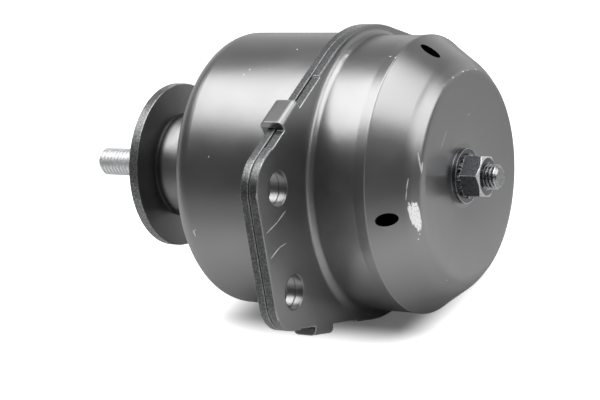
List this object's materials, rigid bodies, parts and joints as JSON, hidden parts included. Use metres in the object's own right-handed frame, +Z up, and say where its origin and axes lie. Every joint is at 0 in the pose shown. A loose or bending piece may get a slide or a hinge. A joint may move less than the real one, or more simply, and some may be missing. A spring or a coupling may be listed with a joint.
{
  "type": "hydraulic engine mount",
  "caption": "Fluid-filled engine mount: drawn steel can and vented pot clamped by an eared bolt flange, a stud at each end and a stop disc on the rubber-clad core.",
  "frame": {"origin": "centre of the stop disc's outer face, the seat that the engine stud stands out of", "axes": "+X along the mount's axis from the engine stud to the vented pot, -Y towards the two-hole ear of the flange, +Z up"},
  "size_m": [0.1924, 0.1895, 0.1204],
  "materials": {
    "black_coat": "satin",
    "zinc_stud": "satin",
    "dark_zinc": "satin",
    "plain_steel": "matte",
    "core_alloy": "matte",
    "cast_alloy": "matte",
    "rubber": "matte"
  },
  "bodies": {
    "root": {"engine_stud": "zinc_stud", "stop_disc": "black_coat", "core": "core_alloy", "main_spring": "rubber", "outer_sleeve": "plain_steel", "upper_housing": "black_coat", "lower_housing": "black_coat", "pot_cap": "black_coat", "nozzle_body": "cast_alloy", "seal_ring": "rubber", "nozzle_grid": "plain_steel", "nozzle_cover": "plain_steel", "decoupler": "rubber", "diaphragm": "rubber", "diaphragm_ring": "plain_steel", "pot_stud": "dark_zinc", "stud_plate": "plain_steel", "plain_washer": "dark_zinc", "lock_washer": "dark_zinc", "hex_nut": "dark_zinc"}
  },
  "joints": []
}
